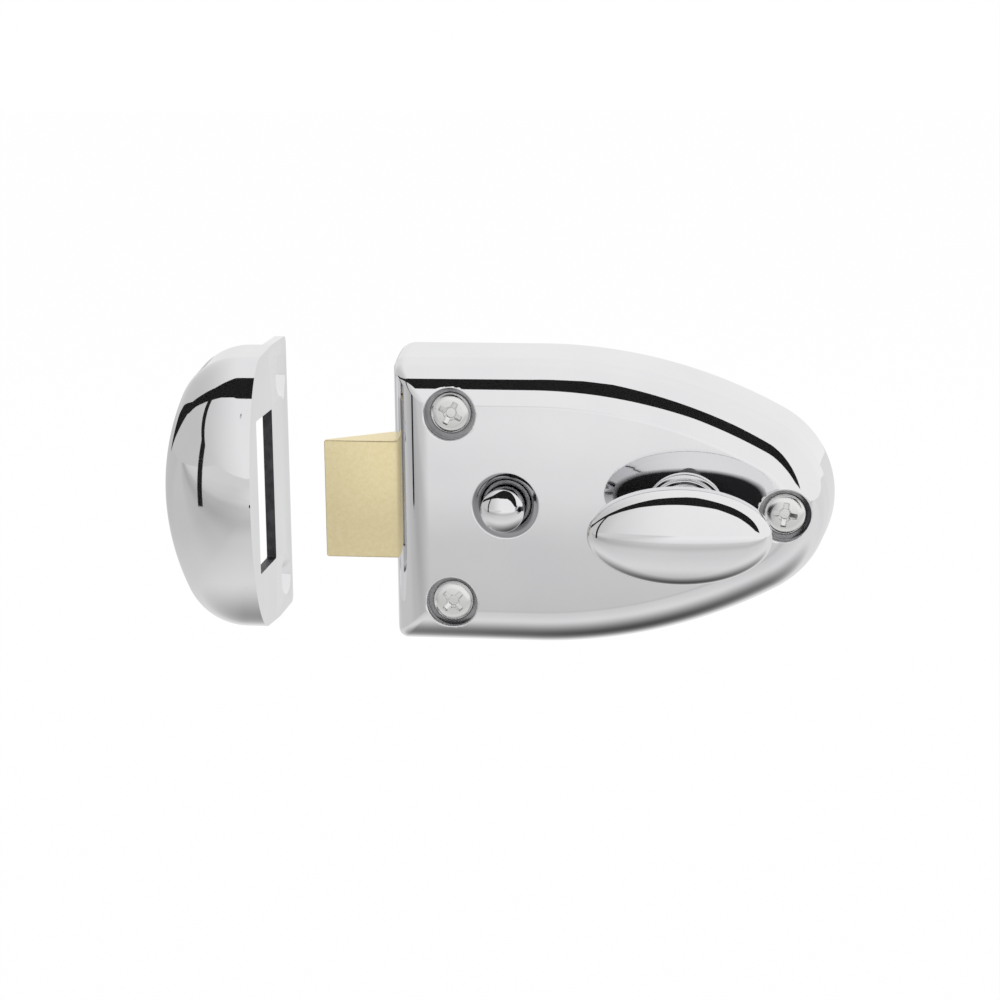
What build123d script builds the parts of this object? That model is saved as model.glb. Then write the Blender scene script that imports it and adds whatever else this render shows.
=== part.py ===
from build123d import *
import os
from math import sqrt, radians, degrees, sin, cos, tan, atan2

os.makedirs("parts", exist_ok=True)

# Frame: origin on the spindle axis at the door face
# X points away from the strike, Y points into the door, Z points up, and depths count forwards from the door face

# Case outline, a three-centred D seen from the front
backset = 60.0
case_half_height = 30.0
side_arc_x = -30.0
nose_arc_x = 9.0
nose_arc_radius = 20.0
case_corner = 4.0

# Case section
wall_depth = 12.0
wall_draft = 1.2
case_depth = 22.0
front_wall = 2.6
side_wall = 2.6
shoulder_radius = 7.8
shoulder_slope = 78.7
mitre_rate = 0.55

# Case screws
screw_from_left = 13.8
screw_from_top = 10.95
nose_screw_from_tip = 9.7
screw_radius = 2.0
screw_head_radius = 4.2
screw_head_height = 2.4
screw_hole_clearance = 0.3
recess_radius = 5.1
recess_depth = 3.4
recess_wall = 0.9
pillar_radius = 4.8
pillar_gap = 0.3
cross_width = 1.1
cross_length = 5.0
cross_depth = 1.4

# Back plate
plate_thickness = 1.6
plate_gap = 0.3
boss_radius = 3.8
boss_end_depth = 6.0
fixing_x_left = -34.0
fixing_x_right = -4.0
fixing_from_top = 11.0
fixing_hole_radius = 2.3
tailpiece_hole_radius = 5.5

# Bolt
bolt_height = 24.0
bolt_thickness = 12.0
bolt_back_depth = 2.4
bolt_throw = 13.0
bolt_inner_length = 7.8
bolt_tip = 1.0
bevel_length = 14.5
bolt_clearance = 0.35
bolt_edge_round = 0.4
bolt_step_length = 5.1
bolt_step_clearance = 0.4

# Bolt tail
tail_thickness = 3.0
tail_half_height = 12.2
tail_tongue_half_height = 9.0
tail_tongue_length = 5.6
arm_outer = 10.5
arm_end_x = 2.0
hub_slot_clearance = 0.35
tail_slot_start_x = -18.7
rivet_radius = 1.5
rivet_from_left = 4.6
rivet_z = 6.3

# Turning drive
spindle_radius = 3.0
spindle_clearance = 0.05
hub_radius = 5.0
hub_setback = 4.5
hub_back_depth = 3.4
turn_angle = 60.0
pin_orbit = 13.0
pin_radius = 2.0
pin_play = 0.45
fork_top = 15.2
fork_wall = 2.6
lever_thickness = 3.0
lever_gap = 1.7
lever_end_radius = 3.4
tailpiece_slot_width = 2.2
tailpiece_slot_height = 6.4
tailpiece_slot_depth = 4.0
cross_pin_radius = 1.0
cross_pin_setback = 1.6
washer_thickness = 0.5
washer_radius = 4.8
washer_gap = 0.15

# Knob and collar
knob_length = 34.7
knob_height = 18.4
knob_standoff = 16.4
knob_rim = 2.6
knob_dome = 5.3
knob_shoulder = 0.97
knob_neck_radius = 4.6
knob_under = 4.6
knob_gap = 0.4
collar_radii = (8.2, 7.3, 6.3)
collar_step = 1.0
spigot_radius = 6.0
spigot_length = 3.7

# Hold button
button_from_left = 24.7
button_z = 1.0
button_radius = 4.3
button_rise = 6.7
button_dome_radius = 5.7
button_edge_round = 0.5
dish_radius = 6.7
dish_depth = 2.6
button_clearance = 0.3
button_flange_radius = 5.2
button_flange = 1.2
button_flange_setback = 4.7
button_travel = 3.0
button_bore_radius = 3.2
button_bore_setback = 2.4
lock_pin_radius = 2.0
lock_pin_gap = 0.7
lock_hole_radius = 2.35
button_boss_radius = 7.6
button_boss_gap = 1.5
guide_thickness = 1.5

# Springs
bolt_spring_z = 7.8
bolt_spring_radius = 2.0
bolt_spring_wire = 0.35
bolt_spring_turns = 8
bolt_spring_from_left = 9.5
window_half_height = 2.7
window_right_x = -24.6
lug_x = -27.5
lug_thickness = 2.0
lug_half_width = 2.3
guide_rod_radius = 1.2
guide_rod_length = 8.5
button_spring_radius = 2.68
button_spring_wire = 0.22
button_spring_turns = 5
spring_end_gap = 0.05

# Strike
strike_x = -86.5
strike_thickness = 2.0
strike_leg = 13.0
strike_half_height = 29.0
strike_draft = 0.8
strike_width = 21.5
strike_left_arc = 50.0
strike_corner_arc = 14.0
strike_wall_depth = 9.5
strike_dome = 13.5
strike_shell = 2.2
strike_slot_back_depth = 1.7
strike_slot_front_depth = 15.7
strike_slot_half_height = 15.85
strike_hole_y = 7.2
strike_hole_z = 21.5
strike_hole_radius = 2.25
strike_sink_radius = 4.4
strike_sink_depth = 1.6
leg_corner = 1.5

# Values that follow from the sizes above
case_left = -backset
screw_x = case_left + screw_from_left
screw_z = case_half_height - screw_from_top
nose_screw_x = nose_arc_x + nose_arc_radius - nose_screw_from_tip
fixing_z = case_half_height - fixing_from_top
button_x = case_left + button_from_left
rivet_x = case_left + rivet_from_left
bolt_spring_left_x = case_left + bolt_spring_from_left
pillar_end_depth = boss_end_depth + pillar_gap
knob_back_depth = case_depth + knob_standoff
hub_front_depth = case_depth - hub_setback
cross_pin_depth = hub_front_depth - cross_pin_setback
spigot_back_depth = case_depth - spigot_length
dish_floor_depth = case_depth - dish_depth
button_tip_depth = case_depth + button_rise
button_flange_front_depth = case_depth - button_flange_setback
button_bore_front_depth = case_depth - button_bore_setback
side_arc_span = nose_arc_x - side_arc_x
side_arc_radius = side_arc_span**2 + case_half_height**2 - nose_arc_radius**2
side_arc_radius /= 2 * (case_half_height - nose_arc_radius)
bolt_front_depth = bolt_back_depth + bolt_thickness
bolt_mid_depth = bolt_back_depth + bolt_thickness / 2
tail_back_depth = bolt_mid_depth - tail_thickness / 2
tail_front_depth = bolt_mid_depth + tail_thickness / 2
lock_pin_end_depth = tail_front_depth + lock_pin_gap
lever_back_depth = tail_front_depth + lever_gap
button_boss_end_depth = tail_front_depth + button_boss_gap
bolt_step_depth = button_boss_end_depth - bolt_step_clearance
bolt_tip_x = case_left - bolt_throw
bolt_inner_x = case_left + bolt_inner_length
bolt_step_x = bolt_inner_x - bolt_step_length
hub_slot_half = hub_radius + hub_slot_clearance
pin_x = -pin_orbit * sin(radians(turn_angle / 2))
pin_z = pin_orbit * cos(radians(turn_angle / 2))
fork_half_gap = pin_radius + pin_play
knob_front_depth = knob_back_depth + knob_rim + knob_dome
collar_front_depth = case_depth + collar_step * len(collar_radii)
side_arc_z = case_half_height - side_arc_radius


def at_depth(depth):
    """A plane facing forwards, this far in front of the door face."""
    return Plane.XZ.offset(depth)


def rod(x, z, radius, back, front):
    """A round bar along Y between two depths."""
    return extrude(at_depth(back) * Pos(x, z) * Circle(radius), amount=front - back)


def block(x0, x1, z0, z1, back, front):
    """A square-cornered block between two depths."""
    return Pos((x0 + x1) / 2, -(back + front) / 2, (z0 + z1) / 2) * Box(
        x1 - x0, front - back, z1 - z0
    )


def d_outline(inset, corner):
    """The case's D outline moved inwards by inset, with its two left corners rounded."""
    left = case_left + inset
    top = case_half_height - inset
    side = side_arc_radius - inset
    nose = nose_arc_radius - inset
    start = degrees(atan2(-side_arc_z, nose_arc_x - side_arc_x))
    edges = [
        Line((left, -top + corner), (left, top - corner)),
        CenterArc((left + corner, top - corner), corner, 180, -90),
        Line((left + corner, top), (side_arc_x, top)),
        CenterArc((side_arc_x, side_arc_z), side, 90, start - 90),
        CenterArc((nose_arc_x, 0), nose, start, -2 * start),
        CenterArc((side_arc_x, -side_arc_z), side, -start, start - 90),
        Line((side_arc_x, -top), (left + corner, -top)),
        CenterArc((left + corner, -top + corner), corner, 270, -90),
    ]
    return make_face(Wire(edges))


def shoulder_corner(inset):
    """The left corner's radius, which closes to a mitre towards the front face."""
    return case_corner / (1 + mitre_rate * inset)


def shoulder_section(slope):
    """The outline where the rounded shoulder leans this many degrees from the front face."""
    drop = shoulder_radius * (1 - cos(radians(slope)))
    inset = face_inset - shoulder_radius * sin(radians(slope))
    return at_depth(case_depth - drop) * d_outline(inset, shoulder_corner(inset))


# Case: drafted side wall, then a shoulder that rises from a crease and rounds over into the front face
arc_drop = shoulder_radius * (1 - cos(radians(shoulder_slope)))
straight_rise = case_depth - wall_depth - arc_drop
straight_inset = straight_rise / tan(radians(shoulder_slope))
face_inset = wall_draft + straight_inset + shoulder_radius * sin(radians(shoulder_slope))
crease = at_depth(wall_depth) * d_outline(wall_draft, shoulder_corner(wall_draft))
wall = loft([at_depth(0) * d_outline(0, case_corner), crease], ruled=True)
straight = loft([crease, shoulder_section(shoulder_slope)], ruled=True)
lower_round = loft([shoulder_section(slope) for slope in (shoulder_slope, 66, 54, 42)])
upper_round = loft([shoulder_section(slope) for slope in (42, 30, 18, 8, 0)])
case = wall + straight + lower_round + upper_round

# Case: the hollow inside, which leaves the screw pillars and the hold button's boss standing
cavity_shoulder = case_depth - front_wall - 1.4
cavity_depths = (-0.5, wall_depth, cavity_shoulder, case_depth - front_wall)
cavity_insets = (side_wall, side_wall + 1.0, side_wall + 2.2, side_wall + 5.0)
cavity_sections = []
for depth, inset in zip(cavity_depths, cavity_insets):
    cavity_sections.append(at_depth(depth) * d_outline(inset, 1.5))
hollow = loft(cavity_sections, ruled=True)
seat_depth = case_depth - recess_depth
screw_places = [(screw_x, screw_z), (screw_x, -screw_z), (nose_screw_x, 0)]
for x, z in screw_places:
    hollow -= rod(x, z, pillar_radius, pillar_end_depth, case_depth)
    hollow -= rod(x, z, recess_radius + recess_wall, seat_depth - 1.4, case_depth)
hollow -= rod(button_x, button_z, button_boss_radius, button_boss_end_depth, case_depth)
case -= hollow
for x, z in screw_places:
    case -= rod(x, z, screw_radius + screw_hole_clearance, 0, case_depth + 1)
    case -= rod(x, z, recess_radius, seat_depth, case_depth + 1)

# Case: the hold button's dish and stepped bore
well_radius = button_radius + button_clearance
step_radius = button_flange_radius + button_clearance
step_depth = button_flange_front_depth + button_clearance
case -= rod(button_x, button_z, well_radius, step_depth - 1, case_depth + 1)
case -= rod(button_x, button_z, step_radius, button_boss_end_depth - 1, step_depth)
dish_profile = make_face(
    [
        Line((0, dish_floor_depth), (well_radius, dish_floor_depth)),
        ThreePointArc(
            (well_radius, dish_floor_depth),
            (well_radius + 1.3, dish_floor_depth + 0.75),
            (dish_radius, case_depth + 0.05),
        ),
        Line((dish_radius, case_depth + 0.05), (0, case_depth + 0.05)),
        Line((0, case_depth + 0.05), (0, dish_floor_depth)),
    ]
)
dish = Pos(button_x, 0, button_z) * (Rot(180, 0, 0) * revolve(dish_profile, Axis.Y))
case -= dish

# Case: the collar's seat and the bolt's way out
case -= rod(0, 0, spigot_radius, 0, case_depth + 1)
case -= block(
    case_left - 1,
    case_left + 7,
    -bolt_height / 2 - bolt_clearance,
    bolt_height / 2 + bolt_clearance,
    bolt_back_depth - bolt_clearance,
    bolt_front_depth + bolt_clearance,
)
export_step(case, "parts/case.step")

# Back plate with threaded bosses, fixing holes and spring lugs
plate = extrude(
    at_depth(0) * d_outline(side_wall + plate_gap, 1.5), amount=plate_thickness
)
for x, z in screw_places:
    plate += rod(x, z, boss_radius, 0, boss_end_depth)
for x, z in screw_places:
    plate -= rod(x, z, screw_radius, plate_thickness / 2, boss_end_depth + 1)
for x in (fixing_x_left, fixing_x_right):
    for z in (fixing_z, -fixing_z):
        plate -= rod(x, z, fixing_hole_radius, -1, plate_thickness + 1)
plate -= rod(0, 0, tailpiece_hole_radius, -1, plate_thickness + 1)
lug_front_depth = bolt_mid_depth + lug_half_width
for side in (1, -1):
    z = side * bolt_spring_z
    lug = block(
        lug_x, lug_x + lug_thickness, z - lug_half_width, z + lug_half_width, 0, lug_front_depth
    )
    hole = Pos(lug_x, -bolt_mid_depth, z) * Rot(0, 90, 0) * Cylinder(guide_rod_radius, 9)
    plate += lug
    plate -= hole
export_step(plate, "parts/back_plate.step")

# Case screws: pan heads with a cross recess
crown_height = screw_head_height
for name, x, z, turn in (
    ("screw_upper", screw_x, screw_z, 28),
    ("screw_lower", screw_x, -screw_z, 45),
    ("screw_nose", nose_screw_x, 0, 8),
):
    head = rod(0, 0, screw_head_radius, seat_depth, seat_depth + crown_height)
    rim = head.faces().sort_by(Axis.Y)[0].edges()
    head = fillet(rim, 1.3)
    shank = rod(0, 0, screw_radius, plate_thickness, seat_depth)
    tip = seat_depth + crown_height
    bar = block(
        -cross_length / 2, cross_length / 2, -cross_width / 2, cross_width / 2, tip - cross_depth, tip + 1
    )
    screw = head + shank - bar - Rot(0, 90, 0) * bar
    screw = Pos(x, 0, z) * Rot(0, turn, 0) * screw
    export_step(screw, "parts/" + name + ".step")

# Bolt: a brass head with a long bevel on its rear side and a step that clears the button's boss
bolt_profile = make_face(
    Polyline(
        (bolt_tip_x, -bolt_front_depth),
        (bolt_step_x, -bolt_front_depth),
        (bolt_step_x, -bolt_step_depth),
        (bolt_inner_x, -bolt_step_depth),
        (bolt_inner_x, -bolt_back_depth),
        (bolt_tip_x + bevel_length, -bolt_back_depth),
        (bolt_tip_x, -bolt_front_depth + bolt_tip),
        (bolt_tip_x, -bolt_front_depth),
    )
)
bolt = Pos(0, 0, -bolt_height / 2) * extrude(bolt_profile, amount=bolt_height)
front_edges = bolt.edges().filter_by(GeomType.LINE).group_by(Axis.Y)[0]
bolt = fillet(front_edges.filter_by(Axis.X), bolt_edge_round)
tongue_end_x = bolt_inner_x - tail_tongue_length
tongue_slot = block(
    tongue_end_x,
    bolt_inner_x + 1,
    -tail_tongue_half_height,
    tail_tongue_half_height,
    tail_back_depth,
    tail_front_depth,
)
bolt -= tongue_slot
for z in (rivet_z, -rivet_z):
    bolt -= rod(rivet_x, z, rivet_radius, bolt_back_depth - 1, bolt_front_depth + 1)
export_step(bolt, "parts/bolt.step")

# Bolt tail: a plate with spring windows, lock holes, a hub slot and a fork
tail = block(
    bolt_inner_x, arm_end_x, -tail_half_height, tail_half_height, tail_back_depth, tail_front_depth
)
tail += block(
    tongue_end_x,
    bolt_inner_x,
    -tail_tongue_half_height,
    tail_tongue_half_height,
    tail_back_depth,
    tail_front_depth,
)
for side in (1, -1):
    trim_edges = sorted((side * arm_outer, side * (tail_half_height + 1)))
    tail -= block(tail_slot_start_x, arm_end_x + 1, *trim_edges, 0, case_depth)
fork_x0 = pin_x - fork_half_gap - fork_wall
fork_x1 = pin_x + fork_half_gap + fork_wall
tail += block(fork_x0, fork_x1, arm_outer - 2, fork_top, tail_back_depth, tail_front_depth)
pin_low = pin_z - fork_half_gap
tail -= block(
    pin_x - fork_half_gap, pin_x + fork_half_gap, pin_low + fork_half_gap, fork_top + 1, 0, case_depth
)
tail -= rod(pin_x, pin_low + fork_half_gap, fork_half_gap, 0, case_depth)
hub_slot_start = tail_slot_start_x + hub_slot_half
tail -= block(hub_slot_start, arm_end_x + 1, -hub_slot_half, hub_slot_half, 0, case_depth)
tail -= rod(hub_slot_start, 0, hub_slot_half, 0, case_depth)
for side in (1, -1):
    z = side * bolt_spring_z
    tail -= block(
        bolt_spring_left_x, window_right_x, z - window_half_height, z + window_half_height, 0, case_depth
    )
for x in (button_x, button_x - bolt_throw):
    tail -= rod(x, button_z, lock_hole_radius, 0, case_depth)
for z in (rivet_z, -rivet_z):
    tail -= rod(rivet_x, z, rivet_radius, 0, case_depth)
export_step(tail, "parts/bolt_tail.step")

# Rivets through bolt and tail
for name, z in (("bolt_rivet_upper", rivet_z), ("bolt_rivet_lower", -rivet_z)):
    rivet = rod(rivet_x, z, rivet_radius, bolt_back_depth, bolt_step_depth)
    export_step(rivet, "parts/" + name + ".step")

# Bolt springs on guide rods held by the back plate's lugs
spring_length = lug_x - bolt_spring_left_x - 2 * spring_end_gap - 2 * bolt_spring_wire
spring_start = bolt_spring_left_x + spring_end_gap + bolt_spring_wire
coil_path = Helix(spring_length / bolt_spring_turns, spring_length, bolt_spring_radius)
coil_wire = Plane(coil_path @ 0, z_dir=coil_path % 0) * RegularPolygon(bolt_spring_wire, 6)
coil = sweep(coil_wire, path=coil_path)
for name, side in (("upper", 1), ("lower", -1)):
    place = Pos(spring_start, -bolt_mid_depth, side * bolt_spring_z) * Rot(0, 90, 0)
    export_step(place * coil, "parts/bolt_spring_" + name + ".step")
    rod_centre = lug_x + lug_thickness / 2 - guide_rod_length / 2
    guide_place = Pos(rod_centre, -bolt_mid_depth, side * bolt_spring_z)
    guide = guide_place * Rot(0, 90, 0) * Cylinder(guide_rod_radius, guide_rod_length + lug_thickness)
    export_step(guide, "parts/spring_guide_" + name + ".step")

# Knob: an oval domed grip on a round neck
knob_half = knob_height / 2
rim_front = knob_back_depth + knob_rim
under_front = knob_back_depth - knob_under
knob_profile = make_face(
    [
        Line((0, under_front), (knob_half * 0.5, under_front)),
        ThreePointArc(
            (knob_half * 0.5, under_front),
            (knob_half * 0.82, under_front + knob_under * 0.42),
            (knob_half - 0.25, knob_back_depth),
        ),
        Line((knob_half - 0.25, knob_back_depth), (knob_half, knob_back_depth + 0.3)),
        Line((knob_half, knob_back_depth + 0.3), (knob_half, rim_front)),
        Spline(
            (knob_half, rim_front),
            (knob_half - knob_shoulder, rim_front + knob_dome * 0.48),
            (knob_half - 2.39 * knob_shoulder, rim_front + knob_dome * 0.675),
            (0, knob_front_depth),
            tangents=((0, 1), (-1, 0)),
        ),
        Line((0, knob_front_depth), (0, under_front)),
    ]
)
grip = Rot(180, 0, 0) * revolve(knob_profile, Axis.Y)
grip = scale(grip, by=(knob_length / knob_height, 1, 1))
neck_back_depth = collar_front_depth + knob_gap
knob = grip + rod(0, 0, knob_neck_radius, neck_back_depth, knob_back_depth)
knob -= rod(0, 0, spindle_radius, 0, knob_back_depth)
export_step(knob, "parts/knob.step")

# Spindle, collar and washer
spindle = rod(0, 0, spindle_radius, hub_back_depth + tailpiece_slot_depth, knob_back_depth)
cross_hole = Pos(0, -cross_pin_depth, 0) * Cylinder(cross_pin_radius, 2 * hub_radius + 2)
spindle -= cross_hole
export_step(spindle, "parts/spindle.step")
collar = rod(0, 0, spigot_radius, spigot_back_depth, case_depth)
for number, radius in enumerate(collar_radii):
    back = case_depth + number * collar_step
    ring = rod(0, 0, radius, back, back + collar_step)
    ring = fillet(ring.faces().sort_by(Axis.Y)[0].edges(), 0.45)
    collar += ring
collar -= rod(0, 0, spindle_radius + spindle_clearance, 0, knob_back_depth)
export_step(collar, "parts/knob_collar.step")
washer_back = hub_front_depth + washer_gap
washer = rod(0, 0, washer_radius, washer_back, washer_back + washer_thickness)
washer -= rod(0, 0, spindle_radius + spindle_clearance, 0, case_depth)
export_step(washer, "parts/thrust_washer.step")

# Follower: hub and lever with the drive pin
hub = rod(0, 0, hub_radius, hub_back_depth, hub_front_depth)
lever_line = Plane.XZ.offset(lever_back_depth)
lever_tip = rod(pin_x, pin_z, lever_end_radius, lever_back_depth, lever_back_depth + lever_thickness)
lever_web = extrude(
    lever_line * Pos(0, 0) * Rot(0, 0, turn_angle / 2) * Pos(0, pin_orbit / 2) * Rectangle(
        2 * lever_end_radius, pin_orbit
    ),
    amount=lever_thickness,
)
follower = hub + lever_tip + lever_web
follower -= rod(0, 0, spindle_radius, hub_back_depth + tailpiece_slot_depth, case_depth)
follower -= rod(pin_x, pin_z, pin_radius, 0, case_depth)
follower -= cross_hole
follower -= block(
    -tailpiece_slot_width / 2,
    tailpiece_slot_width / 2,
    -tailpiece_slot_height / 2,
    tailpiece_slot_height / 2,
    hub_back_depth - 1,
    hub_back_depth + tailpiece_slot_depth,
)
export_step(follower, "parts/follower.step")
drive_pin = rod(pin_x, pin_z, pin_radius, tail_back_depth - 0.6, lever_back_depth + lever_thickness)
export_step(drive_pin, "parts/drive_pin.step")
hub_pin = Pos(0, -cross_pin_depth, 0) * Cylinder(cross_pin_radius, 2 * hub_radius - 0.2)
export_step(hub_pin, "parts/hub_pin.step")

# Hold button: domed plunger, flange and lock pin in one piece
skirt_back_depth = button_flange_front_depth - button_flange
plunger = rod(button_x, button_z, button_radius, skirt_back_depth, button_tip_depth)
dome_centre_depth = button_tip_depth - button_dome_radius
plunger_end = rod(button_x, button_z, 2 * button_radius, dome_centre_depth, button_tip_depth + 1)
plunger_end -= Pos(button_x, -dome_centre_depth, button_z) * Sphere(button_dome_radius)
button = plunger - plunger_end
button = fillet(button.edges().filter_by(GeomType.CIRCLE).sort_by(Axis.Y)[0], button_edge_round)
button += rod(button_x, button_z, button_flange_radius, skirt_back_depth, button_flange_front_depth)
button -= rod(button_x, button_z, button_bore_radius, 0, button_bore_front_depth)
button += rod(button_x, button_z, lock_pin_radius, lock_pin_end_depth, button_bore_front_depth)
export_step(button, "parts/snib_button.step")
guide_back = button_boss_end_depth
guide_ring = rod(button_x, button_z, step_radius, guide_back, guide_back + guide_thickness)
guide_ring -= rod(button_x, button_z, lock_pin_radius + 0.1, 0, case_depth)
export_step(guide_ring, "parts/snib_guide.step")
button_spring_back = guide_back + guide_thickness + spring_end_gap + button_spring_wire
button_spring_front = button_bore_front_depth - spring_end_gap - button_spring_wire
button_spring_length = button_spring_front - button_spring_back
button_path = Helix(
    button_spring_length / button_spring_turns, button_spring_length, button_spring_radius
)
button_wire = Plane(button_path @ 0, z_dir=button_path % 0) * RegularPolygon(button_spring_wire, 6)
button_coil = sweep(button_wire, path=button_path)
button_place = Pos(button_x, -button_spring_back, button_z) * Rot(90, 0, 0)
export_step(button_place * button_coil, "parts/snib_spring.step")

# Strike: a domed box behind a plate that faces the bolt
def strike_outline(inset, shrink):
    """The strike's D outline, rounded to the left, moved inwards by inset and then shrunk about the plate."""
    top = (strike_half_height - inset) * shrink
    left_arc = (strike_left_arc - inset) * shrink
    corner = (strike_corner_arc - inset) * shrink
    width = (strike_width - inset) * shrink
    left_x = left_arc - width
    corner_z = top - corner
    corner_x = left_x - sqrt((left_arc - corner) ** 2 - corner_z**2)
    angle = degrees(atan2(corner_z, left_x - corner_x))
    edges = [
        Line((0, -top), (0, top)),
        Line((0, top), (corner_x, top)),
        CenterArc((corner_x, corner_z), corner, 90, 90 - angle),
        CenterArc((left_x, 0), left_arc, 180 - angle, 2 * angle),
        CenterArc((corner_x, -corner_z), corner, 180 + angle, 90 - angle),
        Line((corner_x, -top), (0, -top)),
    ]
    return Pos(strike_x, 0) * make_face(Wire(edges))


def strike_dome_solid(inset, dome):
    """The box's drafted wall with the domed front on it."""
    back = strike_outline(inset, 1)
    crease = strike_outline(inset + strike_draft, 1)
    body = loft([at_depth(0) * back, at_depth(strike_wall_depth) * crease], ruled=True)
    sections = [at_depth(strike_wall_depth) * crease]
    for angle in (22, 42, 58, 70, 79):
        shrink = cos(radians(angle))
        section = strike_outline(inset + strike_draft, shrink)
        sections.append(at_depth(strike_wall_depth + dome * sin(radians(angle))) * section)
    return body + loft(sections)


strike = strike_dome_solid(0, strike_dome)
strike -= Pos(-strike_thickness, 0.01, 0) * strike_dome_solid(strike_shell, strike_dome - strike_shell)
leg = block(
    strike_x - strike_thickness, strike_x, -strike_half_height, strike_half_height, -strike_leg, 0
)
leg = fillet(leg.edges().filter_by(Axis.X).group_by(Axis.Y)[-1], leg_corner)
strike += leg
strike -= block(
    strike_x - strike_thickness - 1,
    strike_x + 1,
    -strike_slot_half_height,
    strike_slot_half_height,
    strike_slot_back_depth,
    strike_slot_front_depth,
)
for z in (strike_hole_z, -strike_hole_z):
    hole_place = Pos(strike_x, strike_hole_y, z) * Rot(0, 90, 0)
    strike -= hole_place * Cylinder(strike_hole_radius, 3 * strike_thickness)
    sink = Cone(strike_hole_radius, strike_sink_radius, strike_sink_depth)
    strike -= hole_place * Pos(0, 0, -strike_sink_depth / 2) * sink
export_step(strike, "parts/strike.step")
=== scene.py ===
from math import radians

import bmesh
import bpy
import numpy as np
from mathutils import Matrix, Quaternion, Vector
from mathutils.geometry import delaunay_2d_cdt


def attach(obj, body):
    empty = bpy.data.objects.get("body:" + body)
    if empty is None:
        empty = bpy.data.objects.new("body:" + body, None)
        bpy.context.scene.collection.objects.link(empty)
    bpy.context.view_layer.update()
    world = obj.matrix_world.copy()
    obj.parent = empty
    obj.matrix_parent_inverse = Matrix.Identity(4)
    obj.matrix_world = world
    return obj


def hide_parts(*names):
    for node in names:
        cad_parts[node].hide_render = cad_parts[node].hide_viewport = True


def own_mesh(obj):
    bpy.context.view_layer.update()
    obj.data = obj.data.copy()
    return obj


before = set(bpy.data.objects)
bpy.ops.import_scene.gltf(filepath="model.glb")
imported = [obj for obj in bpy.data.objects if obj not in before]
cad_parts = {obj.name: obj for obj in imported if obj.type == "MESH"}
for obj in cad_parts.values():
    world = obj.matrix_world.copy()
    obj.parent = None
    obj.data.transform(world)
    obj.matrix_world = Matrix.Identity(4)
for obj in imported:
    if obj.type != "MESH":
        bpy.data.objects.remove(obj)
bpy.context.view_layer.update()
MM = 0.001

# Sizes shared with the part's source, in millimetres; depths count forwards from the door face
LEFT = -60.0
HALF_HEIGHT = 30.0
SIDE_X = -30.0
NOSE_X = 9.0
NOSE_R = 20.0
SIDE_R = ((NOSE_X - SIDE_X) ** 2 + HALF_HEIGHT**2 - NOSE_R**2) / (2 * (HALF_HEIGHT - NOSE_R))
FACE = 22.0
CORNER = 4.0
SCREWS = {"screw_upper": (-46.2, 19.05, 28), "screw_lower": (-46.2, -19.05, 45), "screw_nose": (19.3, 0.0, 8)}
BUTTON = (-35.3, 1.0)
STRIKE = -86.5
N_ROUND = 128

# The case: points on the runs of its half outline, the bolt's mouth, and the front's crease and shoulder
N_MOUTH, N_CORNER, N_TOP, N_SIDE, N_NOSE = 12, 12, 40, 90, 90
MOUTH_Z, MOUTH_DEPTHS, MOUTH_END_X = 12.35, (2.05, 14.75), -56.6
CREASE_INSET, CREASE_DEPTH = 1.2, 12.0
SHOULDER_R, LEAN = 7.8, radians(78.7)
STRAIGHT = (FACE - CREASE_DEPTH - SHOULDER_R * (1 - np.cos(LEAN))) / np.tan(LEAN)
FACE_INSET = CREASE_INSET + STRAIGHT + SHOULDER_R * np.sin(LEAN)
SHEET_INSET = 4.1
SEAT, RECESS_CUT_R = 18.6, 5.36
DISH_CUT_R, DISH_BORE_R, DISH_WIDTH, DISH_FLOOR, DISH_RISE = 7.05, 4.62, 2.12, 19.4, 2.6

# The turn: half height of the oval, its length over its height, and the depths of its rim's back and its tip
KNOB_HALF, KNOB_STRETCH = 9.2, 34.7 / 18.4
KNOB_BACK, KNOB_TIP = 38.4, 46.3

# The strike: half height, width, radii, plate thickness and screw holes
S_HALF, S_WIDTH, S_LEFT_R, S_CORNER_R = 29.0, 21.5, 50.0, 14.0
PLATE, HOLE_Y, HOLE_Z, SINK_R, HOLE_R = 2.0, 7.2, (21.5, -21.5), 4.55, 2.25


# ---------------------------------------------------------------- curves and surfaces

def rounded(points, radii, steps=10):
    """A polyline in the plane with its inner corners replaced by arcs.

    Each corner's arc touches both runs at radius / tan(half the corner's angle) from the corner, less where
    a run is too short, and its points turn the start radius about the arc's centre in equal angles.
    """
    p = np.asarray(points, float)
    out = [p[:1]]
    for i in range(1, len(p) - 1):
        a, b = p[i - 1] - p[i], p[i + 1] - p[i]
        la, lb = np.linalg.norm(a), np.linalg.norm(b)
        a, b = a / la, b / lb
        half = np.arccos(np.clip(a @ b, -1, 1)) / 2
        r = radii[i]
        if r <= 0 or half > 1.565:
            out.append(p[i : i + 1])
            continue
        reach = min(r / np.tan(half), 0.49 * la, 0.49 * lb)
        r = reach * np.tan(half)
        mid = (a + b) / np.linalg.norm(a + b)
        centre = p[i] + mid * r / np.sin(half)
        start, end = p[i] + a * reach - centre, p[i] + b * reach - centre
        a0 = np.arctan2(start[1], start[0])
        turn = (np.arctan2(end[1], end[0]) - a0 + np.pi) % (2 * np.pi) - np.pi
        t = a0 + turn * np.linspace(0, 1, steps + 1)
        out.append(centre + r * np.c_[np.cos(t), np.sin(t)])
    out.append(p[-1:])
    return np.concatenate(out)


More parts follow.
